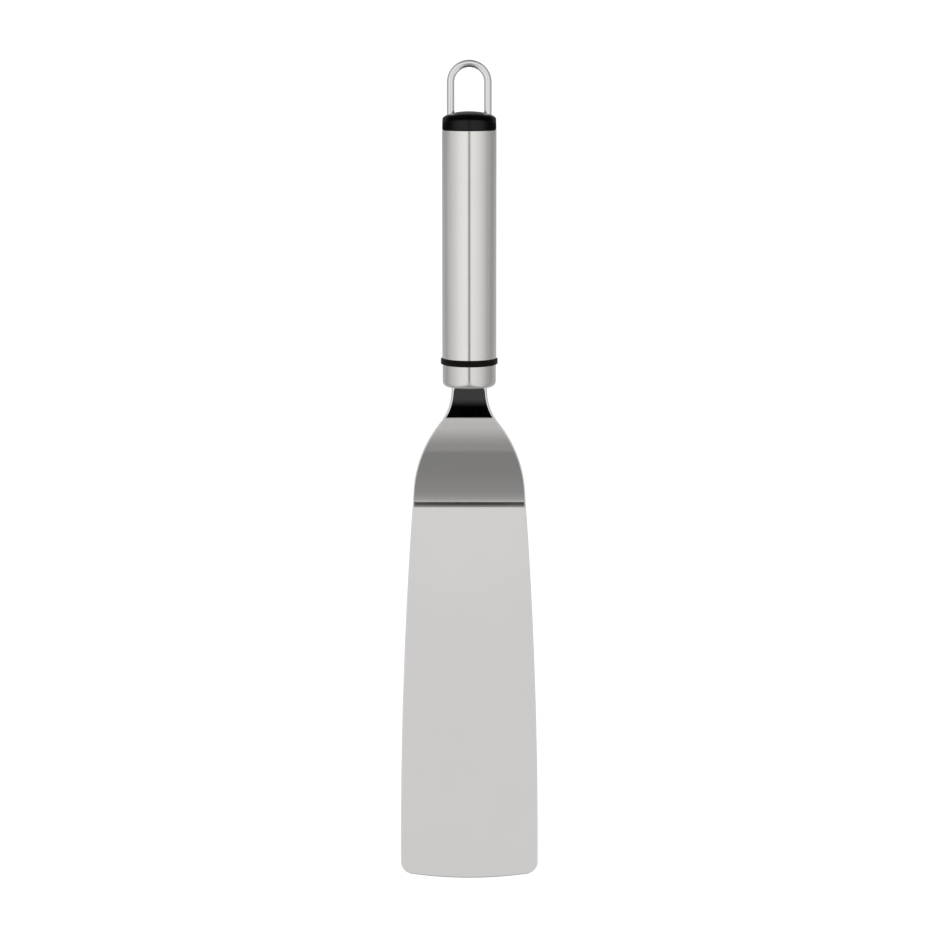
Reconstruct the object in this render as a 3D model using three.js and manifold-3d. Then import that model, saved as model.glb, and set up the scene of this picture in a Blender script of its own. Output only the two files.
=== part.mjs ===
// A flexible kitchen spatula: a bent steel sheet blade on a round steel handle, with a rubber ring behind
// the ferrule, a black end cap and a wire loop to hang it by.
// Millimetres, +Z up. The blade lies flat on z = 0 and the handle rises towards +Y.

import * as THREE from 'three';
import { mergeVertices } from 'three/addons/utils/BufferGeometryUtils.js';
import Module from 'manifold-3d';

const wasm = await Module();
wasm.setup();

// Blade sheet: the flat blade
const bladeLength = 153.35; // heel line to the middle of the front edge
const bladeWidth = 56.8; // at the widest place
const widestFromTip = 15;
const sideRadius = 2000; // the long sides bow out a little
const frontRadius = 173;
const cornerRadius = 5;
const bladeThickness = 1.3;
const bladeEdgeRadius = 0.35;

// Blade sheet: heel, shoulder and neck
const heelInsideRadius = 9;
const shoulderSlope = THREE.MathUtils.degToRad(28.56);
const shoulderSetback = 7.7; // heel line to where the blade's sides turn in
const shoulderRadius = 49; // outline, where they turn in
const throatRadius = 22; // outline, where they run out into the neck
const neckWidth = 14.4;
const neckThickness = 2;
const neckEdgeRadius = 0.9;
const neckBendRadius = 75; // middle of the sheet
const straightNeckLength = 4.7; // in line with the handle, in side view, in front of the ferrule
const plainNeckLength = 1.5; // straight-sided, in plan, in front of the ferrule
const swellLength = 16; // where the neck grows thicker, in front of the ferrule

// Blade sheet: tang inside the handle
const tangWidth = 11;
const tangShoulderInset = 3; // mouth of the ferrule to the tang's shoulders
const tangEndMargin = 3.5; // middle of the rear pin to the end of the tang

// Handle
const handleTilt = THREE.MathUtils.degToRad(9.5);
const tubeDiameter = 22;
const tubeWall = 0.5;
const tubeLength = 92.35;
const tubeLipRadius = 0.15;
const ferruleLength = 9.15; // in front of the ring
const ferruleStep = 0.15; // the ferrule is that much lower than the tube
const ferruleWall = 0.6;
const ferruleFrontRadius = 2.3;
const ferruleLipRadius = 0.15;
const spigotLength = 8.5; // of the ferrule, inside the tube
const ringSection = 2.3; // square
const ringCornerRadius = 0.4;
const ringProud = 0.6; // the ring stands that far out of the tube

// Core halves and pins
const coreEndWall = 2; // behind the end of the tang
const pinDiameter = 2.5;
const pinSetback = 3.5; // rear step of the core to the middle of the front pin
const pinPitch = 6;
const pinEndInset = 0.4;
const pinChamfer = 0.3;

// End cap, loop and retainer
const capStep = 0.05; // the cap's base is that much lower than the tube
const capDraft = 0.1; // and its wall draws in by this much towards the dome
const capWallHeight = 4.4;
const domeHeight = 2.9;
const plugLength = 8;
const plugWall = 1.3;
const capPocketWidth = 8.4;
const capRoof = 3.6; // solid under the crown
const wireDiameter = 3;
const legInset = 2.75; // middle of a leg to the side of the plug
const loopRise = 20.55; // crown of the cap to the top of the loop
const retainerThickness = 1.2;
const legHeadDiameter = 4.4;
const legHeadHeight = 1;

// Clearances
const slideGap = 0.25; // round pieces one inside the other
const ringGap = 0.1; // beside the ring
const floorGap = 0.3; // under the ring
const seatGap = 0.2; // ends that meet

// Fineness of the facets
const turns = 48;
const wireSides = 12;
const cornerSteps = 4;
const domeSteps = 9;
const sectionSteps = 3;
const loopSteps = 56;
const arcSteps = 10;
const bladeSteps = 10;
const heelSteps = 6;
const shoulderSteps = 12;
const neckSteps = 14;
const straightSteps = 4;
const cutSpare = 4; // how far a cutter reaches past what it cuts

// Materials
const steel = new THREE.MeshStandardMaterial({ color: 0xc8cacc, roughness: 0.24, metalness: 1 });
const satinSteel = new THREE.MeshStandardMaterial({ color: 0xc4c6c8, roughness: 0.32, metalness: 1 });
const blackPlastic = new THREE.MeshStandardMaterial({ color: 0x17181a, roughness: 0.42, metalness: 0 });
const blackRubber = new THREE.MeshStandardMaterial({ color: 0x141415, roughness: 0.7, metalness: 0 });
const greyNylon = new THREE.MeshStandardMaterial({ color: 0x3a3c3e, roughness: 0.55, metalness: 0 });

// Booleans

function weld(geometry) {
  const bare = geometry.clone();
  bare.deleteAttribute('normal');
  bare.deleteAttribute('uv');
  const merged = mergeVertices(bare, 1e-5);
  const index = merged.index.array;
  const kept = [];
  for (let i = 0; i < index.length; i += 3) {
    const [a, b, c] = [index[i], index[i + 1], index[i + 2]];
    if (a !== b && b !== c && c !== a) kept.push(a, b, c);
  }
  merged.setIndex(kept);
  return merged;
}

function solidOf(geometry) {
  const welded = weld(geometry);
  return new wasm.Manifold(new wasm.Mesh({
    numProp: 3,
    vertProperties: new Float32Array(welded.attributes.position.array),
    triVerts: new Uint32Array(welded.index.array),
  }));
}

function geometryOf(solid) {
  const mesh = solid.getMesh();
  const geometry = new THREE.BufferGeometry();
  geometry.setAttribute('position', new THREE.BufferAttribute(new Float32Array(mesh.vertProperties), 3));
  geometry.setIndex(new THREE.BufferAttribute(new Uint32Array(mesh.triVerts), 1));
  geometry.computeVertexNormals();
  return geometry;
}

function cut(solid, ...cutters) {
  return cutters.reduce((left, cutter) => left.subtract(solidOf(cutter)), solid);
}

// Shapes turned about the handle's axis, which is Y in the handle's own frame

// A corner of a turned outline rounded from direction `from` to direction `to`, in radians about its middle.
function arcPoints(radiusAt, heightAt, radius, from, to, steps) {
  return Array.from({ length: steps + 1 }, (_, i) => {
    const angle = from + (to - from) * i / steps;
    return new THREE.Vector2(radiusAt + radius * Math.cos(angle), heightAt + radius * Math.sin(angle));
  });
}

function turned(outline) {
  return new THREE.LatheGeometry(outline, turns);
}

// A round bar along Y from `from` to `to`, at a place across the axis.
function bar(radius, from, to, x = 0) {
  const geometry = new THREE.CylinderGeometry(radius, radius, to - from, wireSides * 2);
  return geometry.translate(x, (from + to) / 2, 0);
}

function block(width, from, to, low, high) {
  const geometry = new THREE.BoxGeometry(width, to - from, high - low);
  return geometry.translate(0, (from + to) / 2, (low + high) / 2);
}

const at = (radius, height) => new THREE.Vector2(radius, height);

// Sizes that follow from the ones above: across the handle
const tubeRadius = tubeDiameter / 2;
const tubeBore = tubeRadius - tubeWall;
const ferruleRadius = tubeRadius - ferruleStep;
const ringRadius = tubeRadius + ringProud - ringSection / 2; // middle of the ring's section
const waistRadius = ringRadius - ringSection / 2 - floorGap; // of the ferrule, under the ring
const spigotRadius = tubeBore - slideGap;
const plugRadius = tubeBore - slideGap;
const wireRadius = wireDiameter / 2;
const loopRadius = plugRadius - legInset; // middle of the wire

// Sizes that follow: along the handle, from the mouth of the ferrule
const ringAt = ferruleLength + ringGap + ringSection / 2;
const tubeStart = ferruleLength + 2 * ringGap + ringSection;
const tubeEnd = tubeStart + tubeLength;
const spigotEnd = tubeStart + spigotLength;
const coreStep = spigotEnd + seatGap; // the core grows to the tube's bore here
const pinPlaces = [coreStep + pinSetback, coreStep + pinSetback + pinPitch];
const tangEnd = pinPlaces[1] + tangEndMargin;
const coreEnd = tangEnd + seatGap + coreEndWall;
const capBase = tubeEnd + seatGap;
const domeBase = capBase + capWallHeight;
const crown = domeBase + domeHeight;
const plugEnd = tubeEnd - plugLength;
const retainerTop = plugEnd - seatGap;
const retainerFoot = retainerTop - retainerThickness;
const headTop = retainerFoot - seatGap;
const headFoot = headTop - legHeadHeight;
const archAt = crown + loopRise - wireRadius - loopRadius; // middle of the loop's half circle

// Blade sheet: its outline in plan, from the heel line

const widestAt = bladeLength - widestFromTip;
const sideEndAngle = Math.asin((widestAt + shoulderSetback) / sideRadius);
const sideEndHalfWidth = bladeWidth / 2 - sideRadius * (1 - Math.cos(sideEndAngle));
const neckHalfWidth = neckWidth / 2;
const tangHalfWidth = tangWidth / 2;
// The shoulder arc and the throat arc meet where both lie at this angle to the blade's length.
const meetingAngle = Math.acos(
  (shoulderRadius * Math.cos(sideEndAngle) + throatRadius - sideEndHalfWidth + neckHalfWidth)
  / (shoulderRadius + throatRadius));
const shoulderEnd = shoulderSetback + shoulderRadius * (Math.sin(meetingAngle) - Math.sin(sideEndAngle));
const throatEnd = shoulderEnd + throatRadius * Math.sin(meetingAngle);
const mouthRun = throatEnd + plainNeckLength;

function halfWidth(y) {
  if (y <= shoulderSetback) {
    return bladeWidth / 2 - sideRadius + Math.sqrt(sideRadius ** 2 - (y + widestAt) ** 2);
  }
  if (y < shoulderEnd) {
    const angle = Math.asin(Math.sin(sideEndAngle) + (y - shoulderSetback) / shoulderRadius);
    return sideEndHalfWidth - shoulderRadius * (Math.cos(sideEndAngle) - Math.cos(angle));
  }
  if (y < throatEnd) {
    const angle = Math.asin((throatEnd - y) / throatRadius);
    return neckHalfWidth + throatRadius * (1 - Math.cos(angle));
  }
  return neckHalfWidth;
}

// Blade sheet: the middle line of its bent side view, by length along the sheet from the heel line

const heelRadius = heelInsideRadius + bladeThickness / 2;
const heelArc = heelRadius * shoulderSlope;
const neckArc = neckBendRadius * (shoulderSlope - handleTilt);
const heelRun = heelRadius * Math.sin(shoulderSlope);
const neckRun = neckBendRadius * (Math.sin(shoulderSlope) - Math.sin(handleTilt));
const straightRun = straightNeckLength * Math.cos(handleTilt);
const flatLength = (mouthRun - heelRun - neckRun - straightRun) / Math.cos(shoulderSlope);
const neckStart = heelArc + flatLength;
const neckEnd = neckStart + neckArc;
const mouth = neckEnd + straightNeckLength;

function middleLine(s) {
  const start = bladeThickness / 2;
  if (s <= 0) return { y: s, z: start, slope: 0 };
  if (s < heelArc) {
    const slope = s / heelRadius;
    return { y: heelRadius * Math.sin(slope), z: start + heelRadius * (1 - Math.cos(slope)), slope };
  }
  const flat = Math.min(s - heelArc, flatLength);
  let y = heelRun + flat * Math.cos(shoulderSlope);
  let z = start + heelRadius * (1 - Math.cos(shoulderSlope)) + flat * Math.sin(shoulderSlope);
  if (s <= neckStart) return { y, z, slope: shoulderSlope };
  const slope = shoulderSlope - Math.min(s - neckStart, neckArc) / neckBendRadius;
  y += neckBendRadius * (Math.sin(shoulderSlope) - Math.sin(slope));
  z += neckBendRadius * (Math.cos(slope) - Math.cos(shoulderSlope));
  const straight = Math.max(s - neckEnd, 0);
  return { y: y + straight * Math.cos(slope), z: z + straight * Math.sin(slope), slope };
}

// The sheet thickens, and its edges grow rounder, towards the mouth of the ferrule.
function thickening(s) {
  return THREE.MathUtils.clamp(1 - (mouth - s) / swellLength, 0, 1);
}

// One round-edged section of the sheet as [across, out of the sheet] pairs.
function sheetSection(half, s) {
  const thickness = THREE.MathUtils.lerp(bladeThickness, neckThickness, thickening(s));
  const edge = THREE.MathUtils.lerp(bladeEdgeRadius, neckEdgeRadius, thickening(s));
  const corners = [[1, -1], [1, 1], [-1, 1], [-1, -1]];
  return corners.flatMap(([side, face], corner) => Array.from({ length: sectionSteps + 1 }, (_, i) => {
    const angle = (corner - 1 + i / sectionSteps) * Math.PI / 2;
    return [
      side * (half - edge) + edge * Math.cos(angle),
      face * (thickness / 2 - edge) + edge * Math.sin(angle),
    ];
  }));
}

// A closed skin over rings of equally many points, with a flat end on the first and the last.
function loft(rings) {
  const count = rings[0].length;
  const index = [];
  for (let r = 0; r + 1 < rings.length; r++) {
    for (let i = 0; i < count; i++) {
      const [a, b] = [r * count + i, r * count + (i + 1) % count];
      index.push(a, b + count, b, a, a + count, b + count);
    }
  }
  const last = (rings.length - 1) * count;
  for (let i = 1; i + 1 < count; i++) index.push(0, i, i + 1, last, last + i + 1, last + i);
  const geometry = new THREE.BufferGeometry();
  geometry.setAttribute('position', new THREE.Float32BufferAttribute(rings.flat(2), 3));
  geometry.setIndex(index);
  return geometry;
}

function spread(from, to, steps) {
  return Array.from({ length: steps }, (_, i) => from + (to - from) * i / steps);
}

function sheetLoft() {
  const shoulderLength = neckHalfWidth - tangHalfWidth; // the tang's shoulders slant at 45 degrees
  const shoulderAt = mouth + tangShoulderInset;
  const lengths = [
    ...spread(-bladeLength - cutSpare, 0, bladeSteps),
    ...spread(0, heelArc, heelSteps),
    ...spread(heelArc, neckStart, shoulderSteps),
    ...spread(neckStart, neckEnd, neckSteps),
    ...spread(neckEnd, mouth, straightSteps),
    mouth,
    shoulderAt,
    shoulderAt + shoulderLength,
    mouth + tangEnd,
  ];
  return loft(lengths.map((s) => {
    const { y, z, slope } = middleLine(s);
    const half = s > shoulderAt ? tangHalfWidth : halfWidth(y);
    return sheetSection(half, s).map(([across, out]) => [
      across, y - out * Math.sin(slope), z + out * Math.cos(slope)]);
  }));
}

// What the front edge and its two round corners leave of the sheet, as a tall prism.
function frontTrim() {
  const half = bladeWidth / 2;
  const frontMiddle = frontRadius - bladeLength;
  const cornerX = half - cornerRadius;
  const cornerY = frontMiddle - Math.sqrt((frontRadius - cornerRadius) ** 2 - cornerX ** 2);
  const turn = Math.atan2(cornerY - frontMiddle, cornerX);
  const outside = half + cutSpare;
  const behind = mouthRun + tangEnd + cutSpare;
  const outline = new THREE.Shape();
  outline.moveTo(outside, behind);
  outline.lineTo(-outside, behind);
  outline.lineTo(-outside, cornerY);
  outline.absarc(-cornerX, cornerY, cornerRadius, Math.PI, -Math.PI - turn, false);
  outline.absarc(0, frontMiddle, frontRadius, -Math.PI - turn, turn, false);
  outline.absarc(cornerX, cornerY, cornerRadius, turn, 0, false);
  outline.lineTo(outside, cornerY);
  const height = mouthHeight + (mouthRun + tangEnd) * Math.tan(handleTilt) + cutSpare;
  const prism = new THREE.ExtrudeGeometry(outline, {
    depth: height, bevelEnabled: false, curveSegments: arcSteps });
  return prism.translate(0, 0, -cutSpare);
}

const { y: mouthY, z: mouthHeight } = middleLine(mouth);

// A round cutter along the pin's axis, in the handle's frame.
function pinHole(place) {
  const reach = tubeRadius;
  const geometry = bar(pinDiameter / 2 + slideGap, -reach, reach);
  return geometry.rotateX(Math.PI / 2).translate(0, place, 0);
}

function toPart(geometry) {
  return geometry.rotateX(handleTilt).translate(0, mouthY, mouthHeight);
}

function bladeGeometry() {
  const sheet = solidOf(sheetLoft()).intersect(solidOf(frontTrim()));
  return geometryOf(cut(sheet, ...pinPlaces.map((place) => toPart(pinHole(place)))));
}

// Front ferrule: a drawn cup with a rolled waist for the ring, a spigot for the tube and a slot for the neck

function ferruleGeometry() {
  const shoulder = tubeStart + seatGap;
  const front = ferruleFrontRadius;
  const lip = ferruleLipRadius;
  const insideFront = Math.max(front - ferruleWall, ferruleWall / 4);
  const quarter = Math.PI / 2;
  const cup = turned([
    at(0, 0),
    ...arcPoints(ferruleRadius - front, front, front, -quarter, 0, cornerSteps + 2),
    ...arcPoints(ferruleRadius - lip, ferruleLength - lip, lip, 0, quarter, cornerSteps),
    at(waistRadius, ferruleLength),
    at(waistRadius, shoulder),
    at(spigotRadius, shoulder),
    at(spigotRadius, spigotEnd),
    at(spigotRadius - ferruleWall, spigotEnd),
    at(spigotRadius - ferruleWall, shoulder + ferruleWall),
    at(waistRadius - ferruleWall, shoulder + ferruleWall),
    at(waistRadius - ferruleWall, ferruleLength - ferruleWall),
    at(ferruleRadius - ferruleWall, ferruleLength - ferruleWall),
    ...arcPoints(ferruleRadius - ferruleWall - insideFront, ferruleWall + insideFront, insideFront,
      0, -quarter, cornerSteps),
    at(0, ferruleWall),
  ]);
  const slotHalf = neckThickness / 2 + slideGap;
  const slotReach = neckHalfWidth + slideGap - slotHalf;
  const outline = new THREE.Shape();
  outline.absarc(slotReach, 0, slotHalf, -quarter, quarter, false);
  outline.absarc(-slotReach, 0, slotHalf, quarter, 3 * quarter, false);
  const slot = new THREE.ExtrudeGeometry(outline, {
    depth: ferruleWall + 2 * seatGap, bevelEnabled: false, curveSegments: arcSteps });
  slot.rotateX(-quarter).translate(0, -seatGap, 0);
  return geometryOf(cut(solidOf(cup), slot));
}

// Rubber ring in the ferrule's waist

function ringGeometry() {
  const inset = ringSection / 2 - ringCornerRadius;
  const quarter = Math.PI / 2;
  const corners = [[-1, -1], [1, -1], [1, 1], [-1, 1]];
  const outline = corners.flatMap(([out, along], corner) => arcPoints(
    ringRadius + out * inset, ringAt + along * inset, ringCornerRadius,
    (corner - 2) * quarter, (corner - 1) * quarter, cornerSteps));
  return turned([...outline, outline[0].clone()]);
}

// Handle tube with rounded lips at both ends

function tubeGeometry() {
  const lip = tubeLipRadius;
  const quarter = Math.PI / 2;
  const outline = [
    at(tubeBore, tubeStart),
    ...arcPoints(tubeRadius - lip, tubeStart + lip, lip, -quarter, 0, cornerSteps),
    ...arcPoints(tubeRadius - lip, tubeEnd - lip, lip, 0, quarter, cornerSteps),
    at(tubeBore, tubeEnd),
    at(tubeBore, tubeStart),
  ];
  return turned(outline);
}

// Core: a stepped plug in two halves, with a recess for the tang between them

function coreHalf(face) {
  const nose = waistRadius - ferruleWall - slideGap;
  const middle = spigotRadius - ferruleWall - slideGap;
  const rear = tubeBore - slideGap;
  const noseStart = tangShoulderInset + neckHalfWidth - tangHalfWidth + seatGap;
  const middleStart = tubeStart + ferruleWall + 2 * seatGap;
  const plug = turned([
    at(0, noseStart),
    at(nose, noseStart),
    at(nose, middleStart),
    at(middle, middleStart),
    at(middle, coreStep),
    at(rear, coreStep),
    at(rear, coreEnd),
    at(0, coreEnd),
  ]);
  const low = face > 0 ? seatGap / 2 : -tubeRadius;
  const high = face > 0 ? tubeRadius : -seatGap / 2;
  const half = solidOf(plug).intersect(solidOf(block(tubeDiameter, 0, coreEnd + cutSpare, low, high)));
  const depth = neckThickness / 2 + seatGap;
  const recess = block(tangWidth + 2 * slideGap, 0, tangEnd + seatGap, -depth, depth);
  return geometryOf(cut(half, recess, ...pinPlaces.map(pinHole)));
}

// Pin across the core, in the handle's frame

function pinGeometry(place) {
  const radius = pinDiameter / 2;
  const reach = tubeBore - slideGap - pinEndInset;
  const outline = [
    at(0, -reach),
    at(radius - pinChamfer, -reach),
    at(radius, -reach + pinChamfer),
    at(radius, reach - pinChamfer),
    at(radius - pinChamfer, reach),
    at(0, reach),
  ];
  const geometry = new THREE.LatheGeometry(outline, wireSides);
  return geometry.rotateX(Math.PI / 2).translate(0, place, 0);
}

// End cap: a domed head on a hollow plug that leaves solid cheeks round the two legs of the loop

function capGeometry() {
  const base = tubeRadius - capStep;
  const rim = base - capDraft;
  const dome = Array.from({ length: domeSteps + 1 }, (_, i) => {
    const angle = Math.PI / 2 * i / domeSteps;
    return at(rim * Math.cos(angle), domeBase + domeHeight * Math.sin(angle));
  });
  dome[domeSteps].x = 0;
  const head = turned([
    at(0, plugEnd),
    at(plugRadius, plugEnd),
    at(plugRadius, capBase),
    at(base, capBase),
    ...dome,
  ]);
  const roof = crown - capRoof;
  const bore = solidOf(bar(plugRadius - plugWall, plugEnd - cutSpare, roof));
  const pocketCut = solidOf(block(capPocketWidth, plugEnd - 2 * cutSpare, crown, -tubeRadius, tubeRadius));
  const legHoles = [-1, 1].map((side) =>
    bar(wireRadius + slideGap, plugEnd - cutSpare, crown + cutSpare, side * loopRadius));
  return geometryOf(cut(solidOf(head).subtract(bore.intersect(pocketCut)), ...legHoles));
}

// Hanging loop: round wire up one leg, over a half circle and down the other, with upset ends

class LoopLine extends THREE.Curve {
  getPoint(t, target = new THREE.Vector3()) {
    const leg = archAt - headFoot;
    const arch = Math.PI * loopRadius;
    const run = t * (2 * leg + arch);
    if (run < leg) return target.set(-loopRadius, headFoot + run, 0);
    if (run > leg + arch) return target.set(loopRadius, archAt - (run - leg - arch), 0);
    const angle = Math.PI - (run - leg) / loopRadius;
    return target.set(loopRadius * Math.cos(angle), archAt + loopRadius * Math.sin(angle), 0);
  }
}

function loopGeometry() {
  const section = new THREE.Shape().absarc(0, 0, wireRadius, 0, 2 * Math.PI, false);
  const wire = new THREE.ExtrudeGeometry(section, {
    steps: loopSteps, curveSegments: wireSides / 2, extrudePath: new LoopLine() });
  const heads = [-1, 1].map((side) => bar(legHeadDiameter / 2, headFoot, headTop, side * loopRadius));
  return geometryOf(heads.reduce((left, head) => left.add(solidOf(head)), solidOf(wire)));
}

// Retainer: a steel disc under the plug that the wire's ends are upset over

function retainerGeometry() {
  const disc = turned([
    at(0, retainerFoot),
    at(plugRadius, retainerFoot),
    at(plugRadius, retainerTop),
    at(0, retainerTop),
  ]);
  const holes = [-1, 1].map((side) =>
    bar(wireRadius + slideGap, retainerFoot - cutSpare, retainerTop + cutSpare, side * loopRadius));
  return geometryOf(cut(solidOf(disc), ...holes));
}

// Assembly

function piece(name, geometry, material) {
  const mesh = new THREE.Mesh(geometry, material);
  mesh.name = name;
  return mesh;
}

const handle = new THREE.Group();
handle.position.set(0, mouthY, mouthHeight);
handle.rotation.x = handleTilt;
handle.add(
  piece('front_ferrule', ferruleGeometry(), satinSteel),
  piece('ring', ringGeometry(), blackRubber),
  piece('handle_tube', tubeGeometry(), satinSteel),
  piece('core_half_upper', coreHalf(1), greyNylon),
  piece('core_half_lower', coreHalf(-1), greyNylon),
  piece('tang_pin_front', pinGeometry(pinPlaces[0]), steel),
  piece('tang_pin_rear', pinGeometry(pinPlaces[1]), steel),
  piece('end_cap', capGeometry(), blackPlastic),
  piece('hanging_loop', loopGeometry(), steel),
  piece('loop_retainer', retainerGeometry(), steel),
);

const spatula = new THREE.Group();
spatula.add(piece('blade', bladeGeometry(), steel), handle);

// The origin is the middle of the footprint, on the plane that the blade lies on.
const footprint = new THREE.Box3().setFromObject(spatula, true);
spatula.position.y = -(footprint.min.y + footprint.max.y) / 2;

const part = new THREE.Group();
part.add(spatula);

export default part;
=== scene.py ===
"""A flexible steel spatula: its pieces, finishes, studio and camera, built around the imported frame.

Metres, in the frame's own axes: the blade lies flat on z = 0 and the handle rises towards +Y.
"""

import logging
import math
from dataclasses import dataclass
from enum import Enum
from typing import Any, Callable, Iterable, Sequence

import bmesh
import bpy
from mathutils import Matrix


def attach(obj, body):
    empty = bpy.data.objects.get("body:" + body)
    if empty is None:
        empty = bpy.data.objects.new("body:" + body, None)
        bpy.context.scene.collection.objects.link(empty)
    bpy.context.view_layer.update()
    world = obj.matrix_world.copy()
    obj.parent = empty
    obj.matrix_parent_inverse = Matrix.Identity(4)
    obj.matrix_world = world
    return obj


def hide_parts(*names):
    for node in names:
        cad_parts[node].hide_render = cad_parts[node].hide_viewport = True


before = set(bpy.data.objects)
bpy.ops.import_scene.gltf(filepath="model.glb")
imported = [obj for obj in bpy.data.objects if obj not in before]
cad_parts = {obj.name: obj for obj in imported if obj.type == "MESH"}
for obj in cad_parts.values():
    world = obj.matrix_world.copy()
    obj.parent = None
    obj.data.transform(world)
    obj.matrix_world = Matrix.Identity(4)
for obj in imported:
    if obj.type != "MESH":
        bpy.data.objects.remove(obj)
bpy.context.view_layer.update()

MM = 0.001
NEAR = 1e-3 * MM
QUARTER = math.pi / 2
TILT = math.radians(9.5)
SHARP_DEGREES = 35.0
NOISE_MIDDLE = 0.5
NOISE_ROUGHNESS = 0.55
WHITE = (1.0, 1.0, 1.0, 1.0)

Point = tuple[float, float, float]
Span = tuple[float, float]
Outline = list[tuple[float, float]]

log = logging.getLogger("spatula")


class Slot(Enum):
    """The record's material slots."""

    POLISHED = "polished_steel"
    SATIN = "satin_steel"
    PLASTIC = "black_plastic"
    RUBBER = "black_rubber"


class Grain(Enum):
    """How the polishing lines of a steel piece run: scales across X, Y and Z, in lines to the metre."""

    ALONG = (2600.0, 45.0, 2600.0)
    AROUND = (30.0, 2400.0, 30.0)


class End(Enum):
    """How the last circle of a turned outline is closed."""

    JOINED = "the outline comes back to its first point"
    FLAT = "a flat disc"
    POINT = "a point on the axis"


# Modelling tools


class Bench:
    """A workpiece that is shaped in edit mode with Blender's own modelling tools."""

    def __init__(self, name: str) -> None:
        """Lays an empty mesh at the origin and opens it in edit mode.

        Args:
            name: the name of the piece.
        """
        bpy.ops.object.select_all(action="DESELECT")
        self.piece = bpy.data.objects.new(name, bpy.data.meshes.new(name))
        bpy.context.scene.collection.objects.link(self.piece)
        self.piece.select_set(True)
        bpy.context.view_layer.objects.active = self.piece
        bpy.ops.object.mode_set(mode="EDIT")
        bpy.ops.mesh.select_mode(type="VERT")

    def circle(self, sides: int, radius: float, centre: Point) -> None:
        """Adds a selected circle that faces along Y.

        Args:
            sides: how many vertices it has.
            radius: its radius.
            centre: its middle.
        """
        bpy.ops.mesh.select_all(action="DESELECT")
        bpy.ops.mesh.primitive_circle_add(
            vertices=sides, radius=radius, location=centre, rotation=(QUARTER, 0.0, 0.0))

    def pick(self, wanted: Callable[[Any], bool]) -> None:
        """Selects the vertices whose place passes a test, and nothing else.

        Args:
            wanted: the test, given a vertex's place.
        """
        bpy.ops.mesh.select_all(action="DESELECT")
        mesh = bmesh.from_edit_mesh(self.piece.data)
        for vertex in mesh.verts:
            vertex.select = wanted(vertex.co)
        mesh.select_flush_mode()
        bmesh.update_edit_mesh(self.piece.data)

    def pick_all(self) -> None:
        """Selects the whole workpiece."""
        bpy.ops.mesh.select_all(action="SELECT")

    def extrude(self, offset: Point) -> None:
        """Extrudes what is selected by an offset."""
        bpy.ops.mesh.extrude_region_move(TRANSFORM_OT_translate={"value": offset})

    def scale(self, factors: Point, about: Point) -> None:
        """Scales what is selected about a point."""
        bpy.ops.transform.resize(value=factors, center_override=about)

    def move(self, offset: Point) -> None:
        """Moves what is selected by an offset."""
        bpy.ops.transform.translate(value=offset)

    def fill(self) -> None:
        """Closes the selected loop with a flat face."""
        bpy.ops.mesh.edge_face_add()

    def turn(self, outline: Outline, sides: int, end: End) -> "Bench":
        """Turns a shape about the Y axis: a circle is extruded and scaled from point to point.

        Args:
            outline: (radius, height) points. The first circle is closed flat unless the outline is joined.
            sides: how many facets go round.
            end: how the last circle is closed.

        Returns:
            The workpiece, open in edit mode.
        """
        first_radius, first_height = radius, height = outline[0]
        self.circle(sides, radius, (0.0, height, 0.0))
        for next_radius, next_height in outline[1:]:
            self.extrude((0.0, next_height - height, 0.0))
            if next_radius > 0.0:
                grow = next_radius / radius
                self.scale((grow, 1.0, grow), (0.0, next_height, 0.0))
            radius, height = next_radius, next_height
        if end is End.POINT:
            bpy.ops.mesh.merge(type="CENTER")
        elif end is End.FLAT:
            self.fill()
        if end is not End.JOINED:
            self.pick(lambda at: abs(at.y - first_height) < NEAR
                      and abs(math.hypot(at.x, at.z) - first_radius) < NEAR)
            self.fill()
        return self

    def bar(self, radius: float, low: float, high: float, sides: int) -> "Bench":
        """Turns a plain round bar along the Y axis."""
        return self.turn([(radius, low), (radius, high)], sides, End.FLAT)

    def number_ring(self) -> None:
        """Numbers the selected ring by its turn about the Y axis, so that its copies can be reshaped."""
        mesh = bmesh.from_edit_mesh(self.piece.data)
        number = mesh.verts.layers.int.new("ring_number")
        ring = sorted((v for v in mesh.verts if v.select), key=lambda v: math.atan2(v.co.z, v.co.x))
        for count, vertex in enumerate(ring):
            vertex[number] = count
        bmesh.update_edit_mesh(self.piece.data)

    def reshape(self, places: Sequence[Point]) -> None:
        """Moves each selected vertex of a numbered ring to its own place.

        Args:
            places: the places, by the vertices' numbers.
        """
        mesh = bmesh.from_edit_mesh(self.piece.data)
        number = mesh.verts.layers.int["ring_number"]
        for vertex in mesh.verts:
            if vertex.select:
                vertex.co = places[vertex[number]]
        bmesh.update_edit_mesh(self.piece.data)

    def finish(self) -> bpy.types.Object:
        """Merges doubles, turns the faces outwards and leaves edit mode.

        Returns:
            The finished object.
        """
        self.pick_all()
        bpy.ops.mesh.remove_doubles(threshold=0.1 * NEAR)
        bpy.ops.mesh.normals_make_consistent(inside=False)
        bpy.ops.object.mode_set(mode="OBJECT")
        spare = self.piece.data.attributes.get("ring_number")
        if spare is not None:
            self.piece.data.attributes.remove(spare)
        return self.piece


def use_alone(piece: bpy.types.Object) -> None:
    """Makes a piece the active object and the only selected one.

    Args:
        piece: the piece.
    """
    bpy.ops.object.select_all(action="DESELECT")
    piece.select_set(True)
    bpy.context.view_layer.objects.active = piece


def apply_modifier(piece: bpy.types.Object, kind: str, **settings: Any) -> None:
    """Adds a modifier to a piece and applies it.

    Args:
        piece: the piece.
        kind: the modifier's type.
        settings: the modifier's settings.
    """
    use_alone(piece)
    modifier = piece.modifiers.new(kind.title(), kind)
    for name, value in settings.items():
        setattr(modifier, name, value)
    bpy.ops.object.modifier_apply(modifier=modifier.name)


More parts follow.
